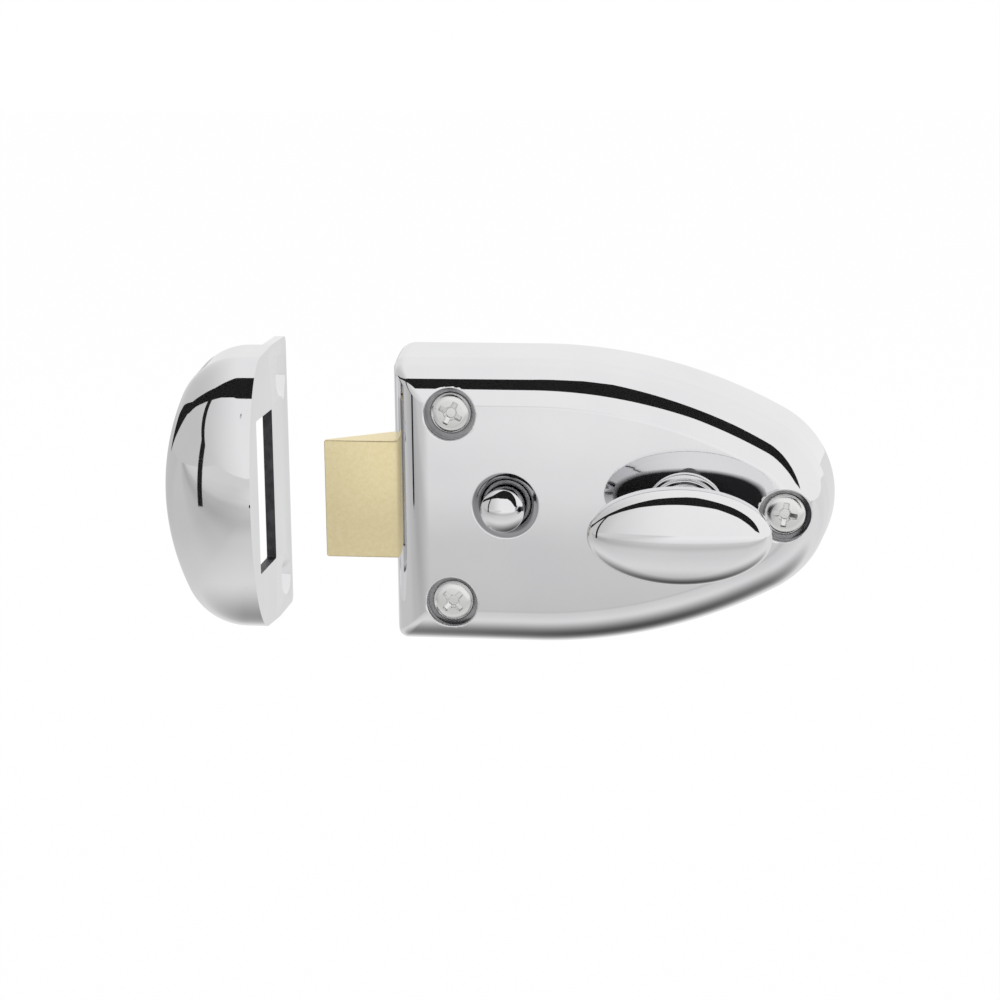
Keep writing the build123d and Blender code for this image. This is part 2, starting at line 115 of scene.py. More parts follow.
def grid(points, close_u=False, close_v=False):
    """Vertices and quads of an (n, m, 3) array of points, joined round in u or v where asked."""
    n, m = points.shape[:2]
    index = np.arange(n * m).reshape(n, m)
    if close_u:
        index = np.vstack([index, index[:1]])
    if close_v:
        index = np.hstack([index, index[:, :1]])
    quads = np.stack([index[:-1, :-1], index[1:, :-1], index[1:, 1:], index[:-1, 1:]], -1)
    return points.reshape(-1, 3), quads.reshape(-1, 4)


def turned(profile, centre=(0.0, 0.0), count=N_ROUND, stretch=1.0):
    """A profile of (radius, depth) turned about an axis along Y: x = r cos, z = r sin, stretched along X."""
    a = np.linspace(0, 2 * np.pi, count, endpoint=False)
    r, d = profile[:, :1], profile[:, 1:]
    x = centre[0] + stretch * r * np.cos(a)
    z = centre[1] + r * np.sin(a)
    return grid(np.stack([x, -d + 0 * a, z], -1), close_v=True)


def piece(name, patches, body, replaces=None, materials=(), sharp=None):
    """One object from patches of (vertices in mm, faces), with its seams merged and its normals turned outwards.

    A patch may name a third item, the number of its material.
    """
    verts, faces, finish, base = [], [], [], 0
    for v, f, *k in patches:
        verts.append(np.asarray(v) * MM)
        faces += [tuple(int(i) + base for i in q) for q in f]
        finish += [k[0] if k else 0] * len(f)
        base += len(v)
    mesh = bpy.data.meshes.new(name)
    mesh.from_pydata(np.concatenate(verts).tolist(), [], faces)
    mesh.polygons.foreach_set("material_index", finish)
    bm = bmesh.new()
    bm.from_mesh(mesh)
    bmesh.ops.remove_doubles(bm, verts=bm.verts, dist=2e-6)
    bmesh.ops.dissolve_degenerate(bm, edges=bm.edges, dist=1e-7)
    bmesh.ops.recalc_face_normals(bm, faces=bm.faces)
    bm.to_mesh(mesh)
    bm.free()
    mesh.polygons.foreach_set("use_smooth", np.ones(len(mesh.polygons), bool))
    if sharp:
        mesh.set_sharp_from_angle(angle=radians(sharp))
    for material in materials:
        mesh.materials.append(material)
    obj = bpy.data.objects.new(name, mesh)
    bpy.context.scene.collection.objects.link(obj)
    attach(obj, body)
    if replaces:
        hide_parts(*replaces)
    return obj


def filled(outer, holes, depth):
    """A flat sheet facing forwards at one depth, between an outer loop and holes, all (n, 2) arrays of x and z."""
    bm = bmesh.new()
    edges = []
    for loop in [outer] + holes:
        vs = [bm.verts.new((x, -depth, z)) for x, z in loop]
        edges += [bm.edges.new((vs[i], vs[(i + 1) % len(vs)])) for i in range(len(vs))]
    bmesh.ops.triangle_fill(bm, use_beauty=True, use_dissolve=False, edges=edges, normal=(0, -1, 0))
    bm.verts.index_update()
    v = np.array([w.co[:] for w in bm.verts])
    f = [[w.index for w in face.verts] for face in bm.faces]
    bm.free()
    return v, f


def circle(centre, radius, count=N_ROUND):
    """Points of a circle as x and z, starting on the X side, as turned() lays them."""
    a = np.linspace(0, 2 * np.pi, count, endpoint=False)
    return np.c_[centre[0] + radius * np.cos(a), centre[1] + radius * np.sin(a)]


# ---------------------------------------------------------------- finishes

def group(name, inputs, outputs):
    """An empty shader node group with named sockets, as (tree, its input node, its output node)."""
    tree = bpy.data.node_groups.new(name, "ShaderNodeTree")
    for label, kind, value in inputs:
        s = tree.interface.new_socket(name=label, in_out="INPUT", socket_type=kind)
        if value is not None:
            s.default_value = value
    for label, kind in outputs:
        tree.interface.new_socket(name=label, in_out="OUTPUT", socket_type=kind)
    return tree, tree.nodes.new("NodeGroupInput"), tree.nodes.new("NodeGroupOutput")


def mapped(nodes, limits, smooth=False):
    """A map range node with its limits as (from low, from high, to low, to high)."""
    node = nodes.new("ShaderNodeMapRange")
    if smooth:
        node.interpolation_type = "SMOOTHSTEP"
    for key, value in zip(("From Min", "From Max", "To Min", "To Max"), limits):
        node.inputs[key].default_value = value
    return node


def noise(tree, vector, scale, detail):
    """A noise texture over a vector socket."""
    node = tree.nodes.new("ShaderNodeTexNoise")
    node.inputs["Scale"].default_value = scale
    node.inputs["Detail"].default_value = detail
    tree.links.new(vector, node.inputs["Vector"])
    return node


def combine(tree, operation, first, second):
    """Two sockets in one math node, as its output socket."""
    node = tree.nodes.new("ShaderNodeMath")
    node.operation = operation
    tree.links.new(first, node.inputs[0])
    tree.links.new(second, node.inputs[1])
    return node.outputs[0]


def polish_group():
    """Buffed plating: cloudy haze and hairline scratches for roughness, and a slow waviness as a height."""
    tree, gi, go = group(
        "Buffed_Plating",
        [("Haze", "NodeSocketFloat", 0.04), ("Scratch", "NodeSocketFloat", 0.05), ("Base", "NodeSocketFloat", 0.03)],
        [("Roughness", "NodeSocketFloat"), ("Height", "NodeSocketFloat"), ("Tone", "NodeSocketFloat")],
    )
    n, link = tree.nodes, tree.links.new
    coord = n.new("ShaderNodeTexCoord")
    cloud = noise(tree, coord.outputs["Object"], 60, 5)
    turn = n.new("ShaderNodeMapping")
    turn.inputs["Rotation"].default_value = (0.2, 0.5, 0.35)
    turn.inputs["Scale"].default_value = (40, 900, 2600)
    link(coord.outputs["Object"], turn.inputs["Vector"])
    hair = noise(tree, turn.outputs["Vector"], 1, 2)
    pick = mapped(n, (0.62, 0.78, 0, 1))
    link(hair.outputs["Fac"], pick.inputs["Value"])
    haze = combine(tree, "MULTIPLY", cloud.outputs["Fac"], gi.outputs["Haze"])
    mark = combine(tree, "MULTIPLY", pick.outputs["Result"], gi.outputs["Scratch"])
    marked = combine(tree, "ADD", haze, mark)
    link(combine(tree, "ADD", marked, gi.outputs["Base"]), go.inputs["Roughness"])
    wave = noise(tree, coord.outputs["Object"], 34, 1)
    link(wave.outputs["Fac"], go.inputs["Height"])
    link(cloud.outputs["Fac"], go.inputs["Tone"])
    return tree


def grain_group():
    """Machined or drawn metal: fine lines along one axis, a speckle and a cloud, for height, tone and roughness."""
    tree, gi, go = group(
        "Machined_Grain",
        [("Stretch", "NodeSocketVector", (1, 1, 1)), ("Speckle Size", "NodeSocketFloat", 900.0)],
        [("Lines", "NodeSocketFloat"), ("Speckle", "NodeSocketFloat"), ("Cloud", "NodeSocketFloat")],
    )
    n, link = tree.nodes, tree.links.new
    coord = n.new("ShaderNodeTexCoord")
    stretch = n.new("ShaderNodeVectorMath")
    stretch.operation = "MULTIPLY"
    link(coord.outputs["Object"], stretch.inputs[0])
    link(gi.outputs["Stretch"], stretch.inputs[1])
    lines = noise(tree, stretch.outputs["Vector"], 1, 3)
    speck = noise(tree, coord.outputs["Object"], 1, 4)
    link(gi.outputs["Speckle Size"], speck.inputs["Scale"])
    cloud = noise(tree, coord.outputs["Object"], 120, 3)
    link(lines.outputs["Fac"], go.inputs["Lines"])
    link(speck.outputs["Fac"], go.inputs["Speckle"])
    link(cloud.outputs["Fac"], go.inputs["Cloud"])
    return tree


POLISH, GRAIN = polish_group(), grain_group()


def new_material(name):
    """A material with a shader linked to its output, as (material, nodes, link, shader)."""
    m = bpy.data.materials.new(name)
    m.use_nodes = True
    m.node_tree.nodes.clear()
    n = m.node_tree.nodes
    out = n.new("ShaderNodeOutputMaterial")
    shader = n.new("ShaderNodeBsdfPrincipled")
    m.node_tree.links.new(shader.outputs["BSDF"], out.inputs["Surface"])
    return m, n, m.node_tree.links.new, shader


def ramp(nodes, stops):
    """A colour ramp of (place, (r, g, b)) stops."""
    r = nodes.new("ShaderNodeValToRGB")
    e = r.color_ramp.elements
    while len(e) < len(stops):
        e.new(0.5)
    for item, (place, colour) in zip(e, stops):
        item.position = place
        item.color = (*colour, 1)
    return r


def plating(name, light, dark, base, haze, scratch, wave):
    """Polished plating: tone between two colours, haze and hairlines in the roughness, slow waviness in the bump."""
    m, n, link, shader = new_material(name)
    g = n.new("ShaderNodeGroup")
    g.node_tree = POLISH
    for key, value in (("Base", base), ("Haze", haze), ("Scratch", scratch)):
        g.inputs[key].default_value = value
    tone = ramp(n, [(0.3, dark), (0.7, light)])
    link(g.outputs["Tone"], tone.inputs["Fac"])
    link(tone.outputs["Color"], shader.inputs["Base Color"])
    link(g.outputs["Roughness"], shader.inputs["Roughness"])
    bump = n.new("ShaderNodeBump")
    bump.inputs["Strength"].default_value = wave
    bump.inputs["Distance"].default_value = 0.0002
    link(g.outputs["Height"], bump.inputs["Height"])
    link(bump.outputs["Normal"], shader.inputs["Normal"])
    shader.inputs["Metallic"].default_value = 1.0
    return m


def machined(name, light, dark, rough, stretch, speck, bump_strength):
    """Machined metal: colour from a speckle, roughness from clouds, fine lines in the bump."""
    m, n, link, shader = new_material(name)
    g = n.new("ShaderNodeGroup")
    g.node_tree = GRAIN
    g.inputs["Stretch"].default_value = stretch
    g.inputs["Speckle Size"].default_value = speck
    tone = ramp(n, [(0.32, dark), (0.68, light)])
    link(g.outputs["Speckle"], tone.inputs["Fac"])
    link(tone.outputs["Color"], shader.inputs["Base Color"])
    spread = mapped(n, (0, 1, *rough))
    link(g.outputs["Cloud"], spread.inputs["Value"])
    link(spread.outputs["Result"], shader.inputs["Roughness"])
    bump = n.new("ShaderNodeBump")
    bump.inputs["Strength"].default_value = bump_strength
    bump.inputs["Distance"].default_value = 0.00005
    link(g.outputs["Lines"], bump.inputs["Height"])
    link(bump.outputs["Normal"], shader.inputs["Normal"])
    shader.inputs["Metallic"].default_value = 1.0
    return m


def masked_plating(name, half_x, half_z):
    """Chrome that thins out to a painted near-black shade inside an oval of two half sizes in mm, with a cloudy
    edge.
    """
    m, n, link, shader = new_material(name)
    g = n.new("ShaderNodeGroup")
    g.node_tree = POLISH
    coord, size = n.new("ShaderNodeTexCoord"), n.new("ShaderNodeVectorMath")
    size.operation = "MULTIPLY"
    size.inputs[1].default_value = (1000 / half_x, 0, 1000 / half_z)
    link(coord.outputs["Object"], size.inputs[0])
    away, wobble = n.new("ShaderNodeVectorMath"), n.new("ShaderNodeMath")
    away.operation = "LENGTH"
    link(size.outputs["Vector"], away.inputs[0])
    wobble.operation = "MULTIPLY_ADD"
    wobble.inputs[1].default_value = 0.12
    link(g.outputs["Tone"], wobble.inputs[0])
    link(away.outputs["Value"], wobble.inputs[2])
    place = mapped(n, (1.0, 1.12, 0, 1))
    link(wobble.outputs[0], place.inputs["Value"])
    # near-black inside the oval as painted shade under the knob, chrome outside it
    tone = ramp(n, [(0.0, (0.03, 0.03, 0.032)), (1.0, (0.86, 0.86, 0.87))])
    link(place.outputs["Result"], tone.inputs["Fac"])
    link(tone.outputs["Color"], shader.inputs["Base Color"])
    rough = mapped(n, (0, 1, 0.6, 0.06))
    link(place.outputs["Result"], rough.inputs["Value"])
    link(rough.outputs["Result"], shader.inputs["Roughness"])
    shader.inputs["Metallic"].default_value = 1.0
    return m


CHROME = plating("Polished_Chrome", (0.87, 0.87, 0.88), (0.83, 0.83, 0.845), 0.02, 0.03, 0.05, 0.02)
# chrome darkened to about half for the dish bowl: painted shade inside the dish
DISH = plating("Dish_Chrome_Painted_Shade", (0.50, 0.50, 0.51), (0.40, 0.40, 0.41), 0.06, 0.06, 0.1, 0.05)
NICKEL = plating("Bright_Nickel", (0.90, 0.90, 0.89), (0.80, 0.80, 0.79), 0.16, 0.10, 0.2, 0.05)
BRASS = machined("Satin_Brass", (0.99, 0.87, 0.55), (0.94, 0.80, 0.47), (0.30, 0.44), (200, 200, 6000), 1500, 0.25)
ZINC = machined("Zinc_Plate", (0.62, 0.63, 0.64), (0.50, 0.51, 0.53), (0.35, 0.5), (900, 900, 900), 700, 0.2)
WIRE = machined("Spring_Wire", (0.58, 0.58, 0.58), (0.42, 0.42, 0.43), (0.25, 0.4), (3000, 400, 400), 1200, 0.2)
# the knob's underside: chrome with a painted near-black shade in its middle
UNDERSIDE = masked_plating("Plated_Rim_Painted_Shade_Middle", 15.4, 5.9)
RAW = machined("Unplated_Zinc", (0.52, 0.52, 0.53), (0.40, 0.40, 0.41), (0.40, 0.60), (700, 700, 700), 500, 0.5)
# near-black: the dark finish of the pins and rivets, and painted shade in hollows: the screw recesses, the well
# under the button, the knob's neck and the strike's slot
CASTING_AND_RECESS_SHADE = machined("Raw_Casting_And_Recess_Shade", (0.20, 0.20, 0.21), (0.12, 0.12, 0.13), (0.45, 0.65), (700, 700, 700), 500, 0.5)


# ---------------------------------------------------------------- case

def d_loop(inset):
    """The case's D outline at each inset, an array (insets, points, 2) of x and z.

    It starts at the middle of the left run and goes upwards and round.
    The left run, a quarter circle at the upper left, the straight top, the side arc and the nose arc are
    laid one after the other with fixed shares of points, and the lower half mirrors the upper one.
    """
    i = np.asarray(inset, float)[:, None]
    corner = corner_radius(i)
    left, top = LEFT + i, HALF_HEIGHT - i
    side, nose = SIDE_R - i, NOSE_R - i
    tilt = np.arctan2(SIDE_R - HALF_HEIGHT, NOSE_X - SIDE_X)
    low = np.linspace(0, MOUTH_Z, N_MOUTH + 1)
    high = np.linspace(0, 1, 14)[1:-1]
    z_run = np.concatenate([low + 0 * i, MOUTH_Z + high * (top - corner - MOUTH_Z)], 1)
    a = np.linspace(np.pi, np.pi / 2, N_CORNER + 1)[None]
    b = np.linspace(0, 1, N_TOP, endpoint=False)[None, 1:]
    c = np.linspace(np.pi / 2, tilt, N_SIDE + 1)[None]
    d = np.linspace(tilt, 0, N_NOSE + 1)[None, 1:]
    one = np.ones_like
    x = np.concatenate(
        [
            left * one(z_run),
            left + corner + corner * np.cos(a),
            (left + corner) + b * (SIDE_X - left - corner),
            SIDE_X + side * np.cos(c),
            NOSE_X + nose * np.cos(d),
        ],
        1,
    )
    z = np.concatenate(
        [
            z_run,
            top - corner + corner * np.sin(a),
            top * one(b),
            (HALF_HEIGHT - SIDE_R) + side * np.sin(c),
            nose * np.sin(d),
        ],
        1,
    )
    up = np.stack([x, z], -1)
    down = up[:, ::-1][:, 1:-1] * [1, -1]
    return np.concatenate([up, down], 1)


def corner_radius(inset):
    """The left corners' radius, which closes to a mitre towards the front face."""
    return CORNER / (1 + 0.55 * inset)


def inset_at(x, z):
    """How far inside the D outline each point lies, the number of the loop that passes through it.

    To the left it is found by halving an interval: the loop's distance to the point, with its rounded
    corner, falls steadily as the inset grows. Elsewhere it is a radius less the distance to an arc's centre.
    """
    z = abs(z)
    low, high = 0 * x, 0 * x + HALF_HEIGHT
    for _ in range(40):
        i = (low + high) / 2
        c = corner_radius(i)
        u, v = x - LEFT - i, HALF_HEIGHT - i - z
        gap = np.where((u < c) & (v < c), c - np.hypot(c - u, c - v), np.minimum(u, v))
        low, high = np.where(gap > 0, i, low), np.where(gap > 0, high, i)
    side = SIDE_R - np.hypot(x - SIDE_X, z - HALF_HEIGHT + SIDE_R)
    nose = NOSE_R - np.hypot(x - NOSE_X, z)
    in_nose = (z - HALF_HEIGHT + SIDE_R) * (NOSE_X - SIDE_X) < (SIDE_R - HALF_HEIGHT) * (x - SIDE_X)
    return np.where(x < SIDE_X, (low + high) / 2, np.where(in_nose, nose, np.minimum(side, x - LEFT)))


def front_depth(inset):
    """The case's front as a depth at each inset: an arc that leans 78.7 degrees, then the flat face."""
    s = np.clip((FACE_INSET - inset) / SHOULDER_R, 0, np.sin(LEAN))
    return FACE - SHOULDER_R * (1 - np.sqrt(1 - s * s))


def chain(arcs, steps):
    """Arcs of (radius, end angle) laid end to end from a start along the first axis: (run, drop) points."""
    run, turn, pts = np.zeros(2), 0.0, [np.zeros((1, 2))]
    for radius, end in arcs:
        t = np.radians(np.linspace(turn, end, steps))
        arc = radius * np.c_[np.sin(t) - np.sin(t[0]), np.cos(t[0]) - np.cos(t)]
        pts.append(run + arc[1:])
        run, turn = run + arc[-1], end
    return np.concatenate(pts)


def skin_profile():
    """The case's outer section as (inset, depth): back rim, drafted wall, crease, straight run, arc to SHEET_INSET.

    Long runs are cut into steps of about 0.9 mm, and a row is put in at each of the mouth's depths.
    """
    start = FACE_INSET - SHOULDER_R * np.sin(LEAN)
    arc = np.linspace(start, SHEET_INSET, 26)
    front = np.c_[arc, front_depth(arc)]
    corners = [(2.9, 0.0), (0.0, 0.0), (CREASE_INSET, CREASE_DEPTH), tuple(front[0])]
    line = rounded(corners, [0, 0.35, 0.5, 0], 8)
    stops = []
    for p, q in zip(line[:-1], line[1:]):
        n = max(1, int(np.hypot(*(q - p)) / 0.9))
        stops.append(p + (q - p) * np.linspace(0, 1, n, endpoint=False)[:, None])
    body = np.concatenate(stops + [front])
    for depth in MOUTH_DEPTHS:
        k = int(np.argmax(body[:, 1] > depth))
        f = (depth - body[k - 1, 1]) / (body[k, 1] - body[k - 1, 1])
        body = np.insert(body, k, body[k - 1] + f * (body[k] - body[k - 1]), 0)
    return body


def front_sheet(outer, holes):
    """The front as a height over x and z: a triangle net through loops at many insets.

    It is cut out at round holes of (centre, radius).
    """
    loops = d_loop(np.linspace(SHEET_INSET, FACE_INSET, 30)[1:]).reshape(-1, 2)
    inner = d_loop(np.linspace(FACE_INSET, 20, 12)[1:]).reshape(-1, 2)[::3]
    free = np.concatenate([loops, inner])
    rims = [circle(c, r) for c, r in holes]
    for c, r in holes:
        free = free[np.hypot(*(free - c).T) > r + 0.12]
        rims += [circle(c, r + 0.3, 64)]
    fixed = [outer] + rims[: len(holes)]
    points = np.concatenate(fixed + rims[len(holes) :] + [free])
    edges, base = [], 0
    for loop in fixed:
        n = np.arange(len(loop))
        edges.append(np.c_[n, (n + 1) % len(loop)] + base)
        base += len(loop)
    net = delaunay_2d_cdt([Vector(p) for p in points], np.concatenate(edges).tolist(), [], 0, 1e-6)
    flat_points = np.array([v[:] for v in net[0]])
    faces = np.array([list(f) for f in net[2]])
    middle = flat_points[faces].mean(1)
    keep = np.ones(len(faces), bool)
    for c, r in holes:
        keep &= np.hypot(*(middle - c).T) > r * 0.999
    depth = front_depth(inset_at(flat_points[:, 0], flat_points[:, 1]))
    return np.c_[flat_points[:, 0], -depth, flat_points[:, 1]], faces[keep]


def cup(centre, line):
    """A round recess: rings of (radius, drop below the front) at the rim, then rings of (radius, depth) below."""
    a = np.linspace(0, 2 * np.pi, N_ROUND, endpoint=False)
    rings = []
    for radius, drop, depth in line:
        x, z = centre[0] + radius * np.cos(a), centre[1] + radius * np.sin(a)
        d = front_depth(inset_at(x, z)) - drop if depth is None else depth + 0 * a
        rings.append(np.stack([x, -d, z], -1))
    return grid(np.array(rings), close_v=True)


def case_patches():
    """The casting: outer skin with the bolt's mouth, front with its recesses and dish, and the hollow inside."""
    profile = skin_profile()
    loop = d_loop(profile[:, 0])
    pts = np.stack([loop[..., 0], -profile[:, 1:2] + 0 * loop[..., 0], loop[..., 1]], -1)
    verts, quads = grid(pts, close_v=True)
    n, m = pts.shape[:2]
    rows = np.repeat(np.arange(n - 1), m)
    cols = np.tile(np.arange(m), n - 1)
    k0 = int(np.argmin(abs(profile[:, 1] - MOUTH_DEPTHS[0])))
    k1 = int(np.argmin(abs(profile[:, 1] - MOUTH_DEPTHS[1])))
    mouth_cols = (cols < N_MOUTH) | (cols >= m - N_MOUTH)
    mouth = (rows >= k0) & (rows < k1) & mouth_cols
    patches = [(verts, quads[~mouth])]
    # the mouth's four walls run inwards from the edge of the gap in the skin
    order = np.r_[np.arange(m - N_MOUTH, m), np.arange(0, N_MOUTH + 1)]
    upper, lower = pts[k0 : k1 + 1, N_MOUTH], pts[k0 : k1 + 1, m - N_MOUTH]
    ring = np.concatenate([pts[k0, order], upper, pts[k1, order[::-1]], lower[::-1]])
    inner = ring.copy()
    inner[:, 0] = MOUTH_END_X
    patches.append(grid(np.stack([ring, inner])))
    holes = [(np.array([x, z]), RECESS_CUT_R) for x, z, _ in SCREWS.values()]
    holes.append((np.array(BUTTON), DISH_CUT_R))
    patches.append(front_sheet(loop[-1], holes))
    for centre, _ in holes[:3]:
        rim = [(RECESS_CUT_R, 0, None), (5.29, 0.01, None), (5.2, 0.06, None), (5.13, 0.15, None), (5.1, 0.27, None)]
        wall = [(5.1, 0, 19.5), (5.1, 0, 18.68), (5.02, 0, SEAT), (2.3, 0, SEAT), (2.3, 0, 17.4)]
        patches.append(cup(centre, rim + wall[:1]))
        # each recess's wall and floor take the near-black casting finish, painted shade in the gap round the screw
        # head
        patches.append((*cup(centre, wall), 1))
    t = np.radians(np.linspace(0, 78, 24))
    out = DISH_BORE_R + DISH_WIDTH * (1 - np.cos(t)) / (1 - np.cos(t[-1]))
    bowl = np.c_[out, DISH_FLOOR + DISH_RISE * np.sin(t) / np.sin(t[-1])]
    lip = rounded([(DISH_CUT_R, FACE), tuple(bowl[-1]), tuple(bowl[-2])], [0, 0.3, 0], 6)
    section = np.concatenate([[(DISH_CUT_R, FACE)], lip[1:-1], bowl[::-1][1:]])
    patches.append(turned(section[:9], BUTTON))
    # the bowl takes the darkened chrome, painted shade inside the dish
    patches.append((*turned(section[8:], BUTTON), 2))
    # the well under the button takes the near-black casting finish, painted shade under the button
    patches.append((*turned(np.array([(DISH_BORE_R, DISH_FLOOR), (4.6, 17.6)]), BUTTON), 1))
    hollow = np.array([(2.9, 0.0), (2.65, 0.15), (2.6, 0.5), (3.6, 12.0), (4.8, 18.0), (6.4, 19.1), (7.6, 19.4)])
    inside = d_loop(hollow[:, 0])
    walls = np.stack([inside[..., 0], -hollow[:, 1:2] + 0 * inside[..., 0], inside[..., 1]], -1)
    patches.append((*grid(walls, close_v=True), 3))
    patches.append((*filled(inside[-1], [], hollow[-1, 1]), 3))
    return patches


def true_normals(obj):
    """Give the corners of the case's front faces the exact normal of the depth formula, by small central steps."""
    mesh = obj.data
    co = np.empty(len(mesh.vertices) * 3)
    mesh.vertices.foreach_get("co", co)
    co = co.reshape(-1, 3) / MM
    x, d, z = co[:, 0], -co[:, 1], co[:, 2]
    lowest, near = 15.8, 2e-3
    on_front = (d > lowest) & (abs(front_depth(inset_at(x, z)) - d) < near)
    loops = np.empty(len(mesh.loops), int)
    mesh.loops.foreach_get("vertex_index", loops)
    starts, totals = np.empty(len(mesh.polygons), int), np.empty(len(mesh.polygons), int)
    mesh.polygons.foreach_get("loop_start", starts)
    mesh.polygons.foreach_get("loop_total", totals)
    whole = np.logical_and.reduceat(on_front[loops], starts)
    use = np.repeat(whole, totals)
    h = 0.02
    gx = (front_depth(inset_at(x + h, z)) - front_depth(inset_at(x - h, z))) / (2 * h)
    gz = (front_depth(inset_at(x, z + h)) - front_depth(inset_at(x, z - h))) / (2 * h)
    normal = np.stack([-gx, -np.ones_like(gx), -gz], -1)
    normal /= np.linalg.norm(normal, axis=1, keepdims=True)
    mesh.normals_split_custom_set((normal[loops] * use[:, None]).tolist())


CASE_FINISHES = [CHROME, CASTING_AND_RECESS_SHADE, DISH, RAW]
case = piece("case_shell", case_patches(), "base", ["case"], CASE_FINISHES, sharp=50)
true_normals(case)


# ---------------------------------------------------------------- screws

def screw_patches(x, z, turn):
    """A pan head: a crowned disc whose height drops into a cross recess.

    Height = crown - depth * smooth step across each arm's flank; each arm is a band about a line through
    the middle that narrows and grows shallow towards its end, and the deeper of the two arms counts.
    """
    radius, crown, curve, fall = 4.2, 2.42, 0.012, 1.15
    rr = np.linspace(0, 1, 110)[:, None] ** 0.9 * (radius - 0.02)
    aa = np.linspace(0, 2 * np.pi, 240, endpoint=False)[None]
    u, v = rr * np.cos(aa), rr * np.sin(aa)
    edge = np.clip((rr - 2.6) / (radius - 2.6), 0, 1)
    height = SEAT + crown - curve * rr**2 - fall * (1 - np.sqrt(np.clip(1 - edge**2, 0, 1)))
    cut = 0 * u
    for a, b in ((u, v), (v, u)):
        half = 0.58 - 0.05 * abs(a)
        flank = np.clip((half - abs(b)) / 0.16 + 0.5, 0, 1)
        end = np.clip((2.35 - abs(a)) / 0.22 + 0.5, 0, 1)
        slope = 1.45 - 0.32 * abs(a)
        f = flank * flank * (3 - 2 * flank) * end * end * (3 - 2 * end)
        cut = np.maximum(cut, f * slope)
    core = np.clip((1.15 - rr) / 0.5 + 0.5, 0, 1)
    cut = np.maximum(cut, core * core * (3 - 2 * core) * 1.5)
    t = np.radians(turn)
    px = x + u * np.cos(t) + v * np.sin(t)
    pz = z - u * np.sin(t) + v * np.cos(t)
    top = grid(np.stack([px, -(height - cut), pz], -1), close_v=True)
    rim = (radius - 0.02, SEAT + crown - curve * (radius - 0.02) ** 2 - fall)
    corners = [rim, (radius, SEAT + 0.9), (radius, SEAT), (2.0, SEAT), (2.0, 1.65), (0.001, 1.65)]
    side = rounded(corners, [0, 0.2, 0.15, 0, 0.2, 0], 5)
    a = np.linspace(0, 2 * np.pi, 240, endpoint=False)
    sx, sz = side[:, :1] * np.cos(a), side[:, :1] * np.sin(a)
    sx, sz = x + sx * np.cos(t) + sz * np.sin(t), z - sx * np.sin(t) + sz * np.cos(t)
    skirt = grid(np.stack([sx, -side[:, 1:2] + 0 * sx, sz], -1), close_v=True)
    return [top, skirt]


for name, (x, z, turn) in SCREWS.items():
    piece("pan_" + name, screw_patches(x, z, turn), "base", [name], [NICKEL], sharp=50)


# ---------------------------------------------------------------- knob, collar, button

def knob_patches():
    """The oval turn: a domed front with a narrow rim, a conical underside and a round neck.

    The front's section is a chain of arcs of 14.67, 4.9 and 3.79 mm that bend to 28, 48 and 90 degrees,
    and the whole section is turned about Y and stretched along X into an oval. A plated cone runs back
    to the neck, and the middle underneath is painted near-black as painted shade.
    """
    front = chain(((14.67, 28.0), (4.9, 48.0), (3.79, 90.0)), 30)
    front[:, 0] *= KNOB_HALF / front[-1, 0]
    front = np.c_[front[:, 0], KNOB_TIP - front[:, 1]]
    front[0, 0] = 0.002
    back = rounded([tuple(front[-1]), (KNOB_HALF, KNOB_BACK + 0.1), (8.2, KNOB_BACK - 0.6)], [0, 0.25, 0], 8)[1:]
    oval = turned(np.concatenate([front, back]), count=256, stretch=KNOB_STRETCH)
    cone = np.c_[np.linspace(8.2, 4.9, 24), KNOB_BACK - 0.6 - np.linspace(0, 2.5, 24)]
    cone = turned(np.concatenate([cone, [(2.0, KNOB_BACK - 3.9)]]), count=256, stretch=KNOB_STRETCH)
    corners = [(7.0, KNOB_BACK - 1.2), (4.6, KNOB_BACK - 4.0), (4.6, 25.4), (3.0, 25.4), (3.0, 26.5)]
    neck = rounded(corners, [0, 2.0, 0.3, 0.1, 0], 8)
    return [oval, (*cone, 1), (*turned(neck), 2)]


def collar_patches():
    """The collar: a sleeve under the front and three steps in front of it, turned about Y."""
    corners = [(3.05, 18.3), (6.0, 18.3), (6.0, FACE), (8.2, FACE), (8.2, 23.0), (7.3, 23.0)]
    corners += [(7.3, 24.0), (6.3, 24.0), (6.3, 25.0), (3.05, 25.0), (3.05, 18.3)]
    return [turned(rounded(corners, [0, 0.3, 0, 0, 0.35, 0.12, 0.35, 0.12, 0.35, 0.2, 0], 6))]


def button_patches():
    """The button: a dome of two arcs, a shaft, a flange, a bore for its spring and a pin, turned about Y."""
    radius, tip = 4.3, 28.7
    dome = chain(((5.7, 46.95), (0.5, 90.0)), 24)
    dome = np.c_[dome[:, 0] * radius / dome[-1, 0], tip - dome[:, 1]]
    dome[0, 0] = 0.002
    corners = [tuple(dome[-1]), (radius, 17.3), (5.2, 17.3), (5.2, 16.1), (3.2, 16.1)]
    corners += [(3.2, 19.6), (2.0, 19.6), (2.0, 10.6), (0.002, 10.6)]
    under = rounded(corners, [0, 0, 0.1, 0.1, 0.1, 0.1, 0.1, 0.3, 0], 5)
    return [turned(np.concatenate([dome, under[1:]]), BUTTON)]


KNOB_FINISHES = [CHROME, UNDERSIDE, CASTING_AND_RECESS_SHADE]
piece("oval_turn", knob_patches(), "turn", ["knob"], KNOB_FINISHES, sharp=50)
piece("stepped_collar", collar_patches(), "base", ["knob_collar"], [CHROME], sharp=60)
piece("domed_button", button_patches(), "button", ["snib_button"], [CHROME], sharp=50)


# ---------------------------------------------------------------- bolt

